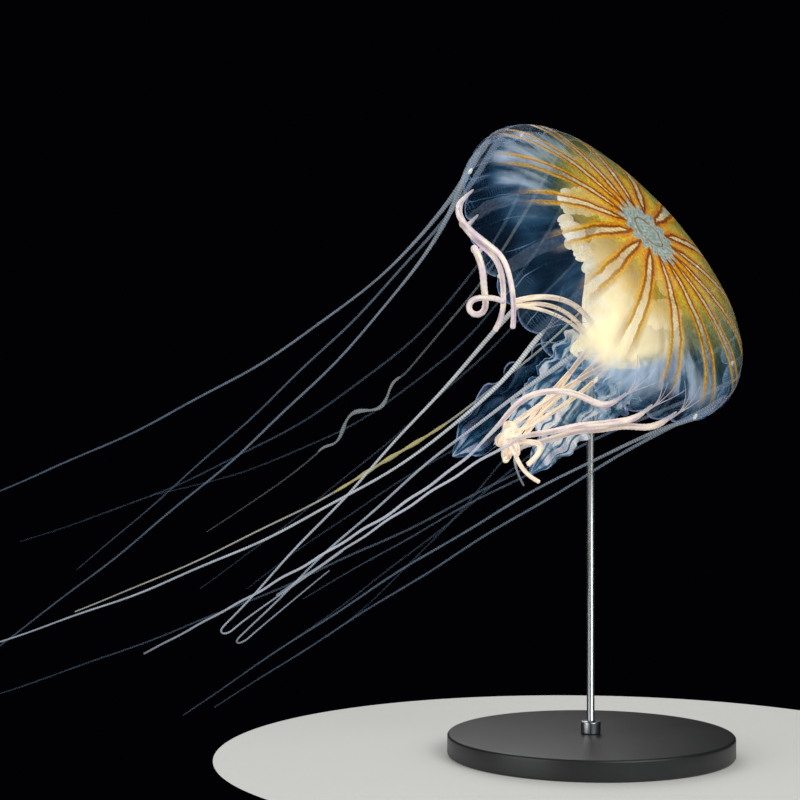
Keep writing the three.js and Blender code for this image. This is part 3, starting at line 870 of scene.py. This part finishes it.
# The knee and the tip of the first bend, from the bell's centre; then what else it does: a
# second tip2 reached after carry, or a hook of radius turn and back. A drawn-up one is short, and
# is either roped or knotted. A knotted one is drawn up only as far as the knot, and its rest is
# a thin thread again. The tone says how white and solid a long one is at its root.
FAINT = 0.24
TENTACLES = [
    dict(knee=(0, 42, -88), tip=(-175, 92, -195), tone=0.46),
    dict(knee=(12, -14, -96), tip=(-226, 56, -256), tone=0.56),
    dict(knee=(-18, -32, -96), tip=(-242, 34, -257), tone=0.6),
    dict(short="knotted", knee=(-8, -60, -84), tip=(-48, -62, -97), carry=12, tip2=(-48, -50, -119)),
    dict(short="knotted", knee=(-16, -74, -84), tip=(-50, -76, -92), carry=12, tip2=(-182, -52, -178)),
    dict(short="knotted", knee=(-42, -88, -55), tip=(-62, -78, -84), carry=48, tip2=(-262, 12, -218)),
    dict(knee=(-110, -34, -108), tip=(-208, 20, -210), turn=4.5, back=(-156, 34, -172), tone=0.78),
    dict(knee=(-104, -98, -133), tip=(-388, 40, -226), tone=0.86),
    dict(knee=(-115, -56, -94), tip=(-214, -20, -199), turn=4, back=(-146, -36, -155), tone=0.86),
    dict(short="roped", knee=(-71, -84, 2), tip=(-70, -80, -28), turn=-4.8, back=(-62, -102, -22)),
    dict(short="roped", knee=(-79, -88, 10), tip=(-66, -92, -8), carry=16, tip2=(-66, -89, -37)),
    dict(short="roped", knee=(-87, -90, 20), tip=(-66, -101, 4), carry=15, tip2=(-57, -97, -36)),
    dict(stout=True, knee=(-100, 8, -38), tip=(-388, 48, -244), tone=0.6),
    dict(stout=True, knee=(-126, 18, -52), tip=(-445, 62, -160), tone=0.6),
    dict(stout=True, knee=(-95, 38, 4), tip=(-312, 80, -176), tone=0.48),
    dict(knee=(-76, 66, -76), tip=(-350, 98, -160)),
    dict(knee=(-86, 88, -62), tip=(-236, 112, -155), curl=(0.52, 0.74), tone=0.38),
    dict(knee=(-74, 116, -94), tip=(-276, 150, -134)),
    dict(knee=(-84, 136, -80), tip=(-246, 166, -196)),
    dict(knee=(-50, 56, -98), tip=(-314, 84, -202), fat=(0.42, 0.6), tone=0.8),
    dict(knee=(-90, 122, -172), tip=(-162, 136, -224)),
    dict(knee=(-84, 92, -156), tip=(-204, 112, -238)),
    dict(knee=(-80, 96, -88), tip=(-212, 124, -192)),
    dict(knee=(-114, 60, -172), tip=(-382, 72, -258), tone=0.36),
]
# Three leave the rim together in every eighth of it, a cleft apart.
for number, row in enumerate(TENTACLES):
    row["angle"] = (360 / 8 * (number // 3) + 360 / LAPPETS * (number % 3 - 1)) % 360
    row["nodes"] = [f"tentacle_{number + 1:02d}{letter}" for letter in "ab"]
long_rows = [row for row in TENTACLES if "short" not in row]
short_rows = [row for row in TENTACLES if "short" in row]


# %% Paths
def lappet_edge(angle, reach, inward):
    """A point past the rim by reach, down along the bell's axis, and inward of it."""
    return dome(angle, 1, 0) - AXIS * reach + outwards(angle, -1) * inward


def curve_points(root, knee, end, count=120):
    return [bend(root, knee, end, i / count) for i in range(count + 1)]


def spaced(points, step):
    """Points at an even step along a string of points."""
    lengths = lengths_along(points)
    count = max(2, round(lengths[-1] / step))
    result = []
    leg = 0
    for i in range(count + 1):
        target = lengths[-1] * i / count
        while leg < len(points) - 2 and lengths[leg + 1] < target:
            leg += 1
        share = (target - lengths[leg]) / max(1e-9, lengths[leg + 1] - lengths[leg])
        result.append(points[leg].lerp(points[leg + 1], share))
    return result


def eased(points, rounds):
    """The same string with its kinks smoothed away; its ends stay."""
    for _ in range(rounds):
        inner = [(before + here * 2 + after) / 4
                 for before, here, after in zip(points, points[1:], points[2:])]
        points = [points[0], *inner, points[-1]]
    return points


def hook(start, direction, turn, end):
    """A hook, half a circle square to the show side, and on to its end.

    With a negative turn it is a loop: it bends the other way, three quarters round, and crosses
    itself.
    """
    radius = abs(turn)
    sweep = pi if turn > 0 else 1.5 * pi
    bends_to = (end - start) * Vector((1, 0, 1)) * copysign(1, turn)
    side = (bends_to - direction * bends_to.dot(direction)).normalized()
    middle = start + side * radius
    turns = [sweep * i / 24 for i in range(25)]
    arc = [middle - side * radius * cos(t) + direction * radius * sin(t) for t in turns]
    heading = side * sin(sweep) + direction * cos(sweep)
    return arc[:-1] + curve_points(arc[-1], arc[-1] + heading * 8, end)


def thread_path(row):
    """The whole way of a thread. Its first 25 mm are smoothed most, and that fades out by 40."""
    angle = radians(row["angle"])
    kind = row.get("short", "long")
    reach = CLEFT_LENGTH + (SOLID_ROOT[kind] + GAP) / CLEFT_SLOPE + LEAD[kind]
    root = lappet_edge(angle, -1.5, 1.4)
    leave = lappet_edge(angle, reach, 0.6 + LAPPET_THICKNESS / 2)
    knee, tip = (CENTRE + Vector(row[key]) for key in ("knee", "tip"))
    direction = (tip - knee).normalized()
    if row.get("turn", 0) < 0:
        tip = tip + direction * row["turn"]
    path = spaced([root, leave], 1.5)[:-1] + curve_points(leave, knee, tip)
    if "turn" in row:
        path += hook(tip, direction, row["turn"], CENTRE + Vector(row["back"]))[1:]
    elif "tip2" in row:
        path += curve_points(tip, tip + direction * row["carry"], CENTRE + Vector(row["tip2"]))[1:]
    path = spaced(path, PATH_STEP)
    return [point.lerp(softer, ramp(PATH_STEP * i, 40, 25))
            for i, (point, softer) in enumerate(zip(eased(path, 6), eased(path, 60)))]


def first_bend_length(row):
    """Millimetres from the root to the first tip."""
    root = lappet_edge(radians(row["angle"]), CLEFT_LENGTH, 1)
    bow = curve_points(root, *(CENTRE + Vector(row[key]) for key in ("knee", "tip")), count=40)
    return lengths_along(bow)[-1]


# %% Rolling a thread
def carried_sides(points):
    """For each point of a path, two directions square to it, carried along without twisting."""
    sides = []
    side = Vector((0, 1, 0))
    for i, _ in enumerate(points):
        forward = (points[min(len(points) - 1, i + 1)] - points[max(0, i - 1)]).normalized()
        side = (side - forward * side.dot(forward)).normalized()
        sides.append((side, forward.cross(side)))
    return sides


def roll_thread(bm, points, radius_at, tone, gold, sides=7):
    """A closed tube round the points.

    radius_at is given the share of the length and the millimetres. tone and gold are layers.
    """
    frames = carried_sides(points)
    last = len(points) - 1
    step = (points[1] - points[0]).length

    def place(u, v):
        i = round(v * last)
        radius = radius_at(v, i * step) if 0 < i < last else 0
        turn = tau * u
        side, other = frames[i]
        return points[i] + side * (radius * cos(turn)) + other * (radius * sin(turn))

    roll(bm, sides, last, place, lambda u, v: (u, v * last * step / 100), dict(tone=tone, gold=gold))


def beads(mm, height):
    return 1 + height * (0.5 + 0.5 * cos(tau * mm / BEAD))


def swayed(points, row, reach, wave):
    """A slow drift to and fro, nothing at the root and most in the middle of the path."""
    result = []
    phase = row["angle"] * 0.7
    step = (points[1] - points[0]).length
    for i, (point, (side, other)) in enumerate(zip(points, carried_sides(points))):
        size = reach * sin(pi * (i / (len(points) - 1))) ** 0.7
        first = size * sin(tau * (i * step) / wave + phase)
        second = size * sin(tau * (i * step) / (wave * 0.61) + 2 * phase)
        result.append(point + side * first + other * second * 0.7)
    return result


def curled(points, start, stop):
    """A stretch that has drawn up into curls."""
    result = []
    for i, point in enumerate(points):
        t = (i / (len(points) - 1) - start) / (stop - start)
        if 0 < t < 1:
            size = 3.8 * sin(pi * t) ** 0.8
            point = point + Vector((-0.5, 0.3, 1)) * size * sin(4.2 * pi * t + 0.4)
            point = point + Vector((1, 0, 0.5)) * size * 0.5 * sin(2.1 * pi * t)
        result.append(point)
    return result


print("a first path has", len(thread_path(TENTACLES[0])), "points")

# %% [markdown]
# ## Tentacle tissue
# A stretched tentacle is a clear thread ringed with pale beads; a drawn-up one is dense, cream
# and slightly pink, with painted shade in the furrows of its fibres and a painted glow of its own
# colour. The thread clears towards its tip. Its rings are drawn 1.4 mm apart, coarser than the
# living ones, so that they show. Two numbers along each thread, tone and gold, say how white and
# solid it is there and how yellow; on a drawn-up thread gold also sets how strong its painted glow is.

# %% Finishes of the tentacles
def beaded_thread():
    finish, shader, add = new_finish("beaded_thread", Roughness=0.4, IOR=1.36, Specular_IOR_Level=0.3)
    _, _, along_dm, coords, tone, gold = sources(add, "tone", "gold")
    patchy = add("TexNoise", coords, grain(12), 3)
    mm = add("MULTIPLY", along_dm, 100 / RING * tau)
    wave = add("COSINE", mm)
    bead = add("MapRange", wave, -0.8, 0.5, 0.68, 1)
    tint = add("ValToRGB", tone, stops=[
        (0, "#3a5064"), (0.35, "#71869c"), (0.7, "#c0cbd8"), (1, "#f6f5ee")])
    beaded = add("Mix", 1, tint, bead, data_type="RGBA", blend_type="MULTIPLY")
    gilded = add("Mix", gold, beaded, linear("#d6cc8c"), data_type="RGBA")
    clear = add("MapRange", tone, 0, 0.9, 0.1, 0.92)
    thin = add("MapRange", patchy, 0.35, 0.65, 0.75, 1.1)
    thinned = add("MULTIPLY", clear, thin)
    cover = add("MULTIPLY", thinned, bead, use_clamp=True)
    fill(shader, Base_Color=gilded, Alpha=cover)
    return finish


def drawn_up_thread():
    finish, shader, add = new_finish(
        "drawn_up_thread", Roughness=0.4, IOR=1.38, Specular_IOR_Level=0.3, Subsurface_Weight=0.2,
        Subsurface_Scale=1 * MM)
    chart = add("UVMap", uv_map="lie")
    coords = add("TexCoord").outputs["Object"]
    tone, gold = (add("Attribute", attribute_name=name).outputs["Fac"] for name in ("tone", "gold"))
    drawn_out = add("Mapping", chart, Scale=(5, 5, 1))
    fibre = add("TexNoise", drawn_out, 1, 3)
    cloud = add("TexNoise", coords, grain(9), 3)
    pink = add("ValToRGB", cloud, stops=[(0.34, "#cbbccf"), (0.5, "#e2d4da"), (0.66, "#f2e9da")])
    cream = add("Mix", gold, pink, linear("#f9e8bd"), data_type="RGBA")
    # Painted shade: the colour is darkened in the furrows, where the fibre bump is low.
    painted_furrow_shade = add("ValToRGB", fibre, stops=[(0.38, "#b5a3a4"), (0.52, "#ffffff")])
    furrow_shaded = add("Mix", 0.6, cream, painted_furrow_shade, data_type="RGBA", blend_type="MULTIPLY")
    thread = add("Mix", tone, linear("#b4bdcb"), furrow_shaded, data_type="RGBA")
    cover = add("ValToRGB", tone, stops=[(0, 0.12), (0.14, 0.62), (1, 0.98)])
    # Painted glow: an emission of the thread's own colour, stronger where gold is high.
    painted_glow = add("MULTIPLY_ADD", gold, 0.3, 0.12)
    bump = add("Bump", Height=fibre, Strength=0.5, Distance=0.5 * MM)
    fill(shader, Base_Color=thread, Emission_Color=thread, Emission_Strength=painted_glow, Alpha=cover,
         Normal=bump)
    return finish


# %% Root fibres
FIBRE_SPREAD = 4.6


def root_fibres(bm, row):
    """Fine pale fibres that gather on the rim's outer face and run into a tentacle's root."""
    angle = radians(row["angle"])
    for number in range(4):
        side = radians(FIBRE_SPREAD * (number - 1.5))
        start = 0.8 - 0.05 * (number % 2)
        points = [dome(angle + side * (1 - t) ** 1.5, start + (1 - start) * t, 0.1)
                  for t in (i / 16 for i in range(17))]
        points.append(lappet_edge(angle, CLEFT_LENGTH + 4, 0.6))
        path = spaced(eased(spaced(points, 1), 2), 1)
        roll_thread(bm, path, lambda share, mm: 0.14 + 0.4 * share ** 2,
                    tone=lambda u, v: 0.3 + 0.35 * v, gold=0, sides=5)


# %% Make the long tentacles
def long_radius(row):
    root_radius = STOUT_ROOT if "stout" in row else TENTACLE_ROOT

    def radius(share, mm):
        root = (root_radius - TENTACLE_MID) * max(0, 1 - mm / 110) ** 1.6
        start = min(1, 0.3 + mm / 9)
        thread = TENTACLE_MID + root - (TENTACLE_MID - TENTACLE_TIP) * max(0, share - 0.4) / 0.6
        for low, high in (row[key] for key in ("curl", "fat") if key in row):
            t = (share - low) / (high - low)
            lump = 0.6 + 0.4 * sin(9 * pi * t)
            thread += 0.8 * sin(pi * t) ** 0.6 * lump if 0 < t < 1 else 0
        return start * thread * beads(mm, 0.05)

    return radius


def long_tone(row):
    """White at the root, fading along the thread, and whiter again where it is curled."""
    bright = row.get("tone", FAINT)
    fade = 0.3 if bright > 0.75 else 0.75
    low, high = row.get("curl", (1, 1))
    return lambda u, v: bright * (1 - fade * v) + (0.3 if low < v < high else 0)


def long_gold(row):
    """One thread is yellowish, most so where it is thick, and the curled one a little."""
    start, stop = row.get("fat", (1, 1))
    ground = 0.35 if "fat" in row else 0.15 if "curl" in row else 0
    return lambda u, v: ground + (0.6 if start < v < stop else 0)


threads = bmesh.new()
for row in long_rows:
    path = swayed(thread_path(row), row, reach=0.7, wave=140)
    if "curl" in row:
        path = curled(path, *row["curl"])
    if "turn" not in row:
        root_fibres(threads, row)
    roll_thread(threads, spaced(path, POINT_STEP), long_radius(row), long_tone(row), long_gold(row))
finish_piece("tentacle_skin", threads, [beaded_thread()],
             [node for row in long_rows for node in row["nodes"]])

# %% [markdown]
# ## Drawn-up tentacles
# The near group of three has curled back on the rim and fused into one rope before it parts
# again. The group under the bell is pulled together into a tangle of cream threads, some of
# which run back to the mouth.

# %% Make the drawn-up tentacles
ROPE_LENGTH = 70  # from here on the threads of the rope run free again
CLEARING = 22  # the stretch past the knot over which a thread thins


def roped(points, row, leader):
    """Draws a thread in against its leader, but not at its root or its far end."""
    parts = min(ROPE_LENGTH, first_bend_length(row) - 12) if "turn" in row else ROPE_LENGTH
    result = []
    for point, length in zip(points, lengths_along(points)):
        nearest = min(leader, key=lambda other: (other - point).length_squared)
        apart = point - nearest
        pull = ramp(length, 8, 20) * ramp(length, parts, parts - 15)
        keep = max(0.3, min(1, 1.7 / max(0.1, apart.length)))
        result.append(nearest + apart * (1 - pull * (1 - keep)))
    return eased(result, 6)


def past_knot(row, mm):
    """0 up to the knot and 1 once a knotted thread is thin again. A roped one has no knot."""
    knot = first_bend_length(row) if row["short"] == "knotted" else inf
    return ramp(mm, knot, knot + CLEARING) if mm > knot else 0


def short_radius(row):
    def radius(share, mm):
        slim = SHORT_ROOT - (SHORT_ROOT - SHORT_TIP) * min(1, mm / 90)
        thick = slim * min(1, 0.25 + mm / 18) * beads(mm, 0.08)
        past = past_knot(row, mm)
        return thick * (1 - past) + past * (0.85 - 0.35 * share) * beads(mm, 0.12)

    return radius


def short_tone(row, length):
    """Solid from soon after the root. A knotted one clears past the knot and towards its tip."""
    def tone(u, v):
        solid = min(1, 0.3 + v * length / 16)
        if row["short"] == "roped":
            return solid
        return solid * (1 - 0.85 * past_knot(row, v * length)) * (1 - 0.9 * max(0, v - 0.6) / 0.4)

    return tone


drawn = bmesh.new()
short_paths = [swayed(thread_path(row), row, reach=0.5, wave=47) for row in short_rows]
for row, path in zip(short_rows, short_paths):
    if row["short"] == "knotted":
        root_fibres(drawn, row)
    elif path is not short_paths[-1]:
        path = roped(path, row, short_paths[-1])
    path = spaced(path, POINT_STEP)
    roll_thread(drawn, path, short_radius(row), tone=short_tone(row, len(path) * POINT_STEP),
                gold=0.25 if row["short"] == "knotted" else 0.12, sides=10)


# %% The tangle
KNOT = Vector((-57, -72, -94))
MOUTH = Vector((4, -4, -42))


def tangle_path(middle, size, seed, loops):
    """A thread wound on itself: slow turns round a slanting axis, each a little off the last."""
    points = []
    for i in range(loops * 26 + 1):
        t = i / 26 * tau
        wobble = noise.noise(Vector((seed, 0.35 * t, 1)))
        points.append(middle + Vector((
            size[0] * sin(t + seed) * (0.8 + 0.5 * wobble),
            size[1] * cos(1.31 * t + seed),
            size[2] * (sin(0.53 * t + seed) + 0.35 * cos(2.3 * t)),
        )))
    return points


def stray(start, bow, end):
    return curve_points(*(CENTRE + Vector(place) for place in (start, bow, end)), count=60)


# Half sizes, seed and turns of the threads that are wound into the knot.
BALLS = (((4.5, 4, 7), 0.3, 3), ((5.5, 3.5, 5), 2.1, 2), ((3.5, 3, 8), 4.4, 2), ((6.5, 4, 3.5), 1.2, 2))
tangle = [tangle_path(CENTRE + KNOT, *ball) for ball in BALLS]
# Threads that run from the mouth's corner down to the knot, each a little out of step.
STRAYS = 5
for i in range(STRAYS):
    apart = i - (STRAYS - 1) / 2
    drift = Vector([noise.noise(Vector((3.7 * i, 0.5, 1.2 + 5.1 * axis))) for axis in range(3)])
    mouth_end = MOUTH + Vector((-3.2, -2, 3.6)) * apart + drift * 4
    knot_end = KNOT + Vector((2 + 1.4 * apart, apart, 2 - 2.2 * apart)) + drift * 2
    bow = (mouth_end + knot_end) / 2 + Vector((-1.5 * apart, -8, -2 - 2 * apart)) + drift * 16
    tangle.append(stray(knot_end, bow, mouth_end))
# Threads that cross under the near rim, from the end of the rope to the trunk.
for places in (((-57, -97, -22), (-20, -74, -10), (-2, -6, -40)),
               ((-57, -96, -25), (-26, -66, -14), (-4, -4, -45)),
               ((-56, -98, -24), (-28, -76, -24), (-6, -8, -42))):
    tangle.append(stray(*places))
# Loose ends that hang out of the knot.
for steps in (((2, 0, -4), (5, -3, -17), (16, 0, -22)), ((3, 0, -1), (26, -8, 2), (9, -2, -13))):
    tangle.append(stray(*(KNOT + Vector(step) for step in steps)))
for number, points in enumerate(tangle):
    path = spaced(eased(spaced(points, 1), 4), POINT_STEP)
    width = 1.6 if number < len(BALLS) else 1.2 + 0.25 * sin(5 * number)
    roll_thread(drawn, path, lambda share, mm, width=width: width * beads(mm, 0.06),
                tone=1, gold=0.6, sides=10)
finish_piece("drawn_up_tentacle_skin", drawn, [drawn_up_thread()],
             [node for row in short_rows for node in row["nodes"]])

# %% [markdown]
# ## Sense organs
# In eight of the clefts, between the groups of tentacles, sits a sense organ: a white grain
# about two millimetres across. Small spheres are enough, with a tapered stalk side.

# %% Make the sense organs
grains = bmesh.new()
for number in range(8):
    angle = radians(22.5 + 45 * number)
    spot = bmesh.ops.create_icosphere(grains, subdivisions=3, radius=1.1)["verts"]
    middle = lappet_edge(angle, 1.2, 0.9)
    for corner in spot:
        along = corner.co.z
        corner.co = middle + corner.co * (1 - 0.25 * along) + AXIS * (along * 0.9)
finish_piece("sense_organs", grains, [grainy_tissue("chalky_grain", "#fffdf4", "#f2ecd4", 0.5)], [])

# %% [markdown]
# ## The stand
# The museum's stand is plain: a turned steel plate under satin black powder coat, and a brushed
# steel rod in a small collar. Both are turned on a lathe, so a profile is spun round the rod's
# axis.

# %% Spinning a profile
def spun(bm, profile, segments):
    """Spins a profile of (radius, height) points, in millimetres, round the vertical axis."""
    corners = [bm.verts.new((radius, 0, height)) for radius, height in profile]
    edges = [bm.edges.new(pair) for pair in zip(corners, corners[1:])]
    bmesh.ops.spin(bm, geom=corners + edges, cent=(0, 0, 0), axis=(0, 0, 1), dvec=(0, 0, 0),
                   angle=tau, steps=segments, use_merge=True, use_duplicate=False)
    bmesh.ops.remove_doubles(bm, verts=bm.verts, dist=SEAM)


def rounded(radius, low, high, edge):
    """The profile of a disc with rounded top and bottom edges."""
    quarter = [pi / 2 * i / 6 for i in range(7)]
    lower = [(radius - edge + edge * sin(t), low + edge - edge * cos(t)) for t in quarter]
    upper = [(radius - edge + edge * cos(t), high - edge + edge * sin(t)) for t in quarter]
    return [(0, low), *lower, *upper, (0, high)]


base_low, base_high = (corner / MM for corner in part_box("stand_base"))
rod_low, rod_high = (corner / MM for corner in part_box("stand_rod"))
base_radius = (base_high.x - base_low.x) / 2
rod_radius = (rod_high.x - rod_low.x) / 2
print("stand, mm: plate", round(base_radius * 2), "across, rod to", round(rod_high.z))


# %% Finishes of the stand
def satin_powder_coat():
    """Powder coat: a fine orange-peel skin of baked paint, half a millimetre from crest to crest."""
    finish, shader, add = new_finish("satin_powder_coat", Roughness=0.42, Specular_IOR_Level=0.5)
    coords = add("TexCoord").outputs["Object"]
    peel = add("TexNoise", coords, grain(0.7), 2)
    dust = add("TexNoise", coords, grain(35), 4)
    black = add("ValToRGB", dust, stops=[(0.35, "#17181a"), (0.7, "#232527")])
    bump = add("Bump", Height=peel, Strength=0.35, Distance=0.12 * MM)
    fill(shader, Base_Color=black, Normal=bump)
    return finish


def brushed_steel():
    """Stainless bar, drawn along its length, so its scratches run up the rod."""
    finish, shader, add = new_finish("brushed_steel", Metallic=1.0)
    coords = add("TexCoord").outputs["Object"]
    drawn_out = add("Mapping", coords, Scale=(grain(0.35), grain(0.35), grain(30)))
    scratch = add("TexNoise", drawn_out, 1, 2)
    steel = add("ValToRGB", scratch, stops=[(0.3, "#a9adb0"), (0.7, "#cdd0d2")])
    rough = add("MapRange", scratch, 0.3, 0.7, 0.24, 0.42)
    fill(shader, Base_Color=steel, Roughness=rough)
    return finish


# %% Make the stand
COLLAR_SHARE = 2.6  # the collar's radius for each millimetre of the rod's
COLLAR_HEIGHT = 7
CHAMFER = 0.8
FILLET = 0.6

plate = bmesh.new()
spun(plate, rounded(base_radius, base_low.z, base_high.z, edge=1.6), segments=128)
finish_piece("stand_plate", plate, [satin_powder_coat()], ["stand_base"])

rod = bmesh.new()
collar = rounded(rod_radius * COLLAR_SHARE, base_high.z, base_high.z + COLLAR_HEIGHT, CHAMFER)
spun(rod, [*collar[:-1],
           (rod_radius + FILLET, base_high.z + COLLAR_HEIGHT),
           (rod_radius, base_high.z + COLLAR_HEIGHT + FILLET),
           (rod_radius, rod_high.z - CHAMFER), (rod_radius - CHAMFER, rod_high.z), (0, rod_high.z)],
     segments=40)
finish_piece("stand_rod_turned", rod, [brushed_steel()], ["stand_rod"])

# %% [markdown]
# ## Floor, light and camera
# A pale round floor carries the stand and its shadow. Clear tissue shows by the light it
# scatters against the dark of deep water, so what the camera sees behind the animal is nearly
# black, while soft white light from all round still falls on the model.

# %% The floor
FLOOR_RADIUS = 215
floor_bm = bmesh.new()
bmesh.ops.create_circle(floor_bm, cap_ends=True, segments=160, radius=FLOOR_RADIUS * MM)
floor_finish, _, _ = new_finish("pale_floor", Base_Color=linear("#d4d4d0"), Roughness=0.7)
new_piece("floor", floor_bm, [floor_finish])

# %% The light
world = bpy.data.worlds.new("studio")
bpy.context.scene.world = world
world.use_nodes = True
add = functools.partial(add_node, world.node_tree)
ray = add("LightPath").outputs
seen = add("MAXIMUM", ray["Is Camera Ray"], ray["Is Glossy Ray"])
seen_through = add("MAXIMUM", seen, ray["Is Transmission Ray"])
shown = add("Mix", seen_through, (0.5, 0.5, 0.5, 1), linear("#020204"), data_type="RGBA")
fill(world.node_tree.nodes["Background"], Color=shown)


def soft_light(name, place, size, power):
    """An area lamp that shines at the middle of the bell. Places and sizes are in metres."""
    lamp = bpy.data.lights.new(name, "AREA")
    lamp.size = size
    lamp.energy = power
    holder = new_object(name, lamp)
    holder.location = place
    holder.rotation_euler = (CENTRE * MM - Vector(place)).to_track_quat("-Z", "Y").to_euler()


soft_light("key", (0.65, -0.95, 0.85), size=0.8, power=9.5)
soft_light("fill", (-1.1, -0.8, 0.4), size=0.9, power=7)
soft_light("rim", (-0.2, 1.1, 0.9), size=0.8, power=4)

# %% The camera
lens = bpy.data.cameras.new("camera")
lens.lens = 85
camera = new_object("camera", lens)
camera.location = (-0.109, -1.080, 0.2025)
camera.rotation_euler = (radians(90), 0, 0)
bpy.context.scene.camera = camera
bpy.context.scene.view_settings.view_transform = "Standard"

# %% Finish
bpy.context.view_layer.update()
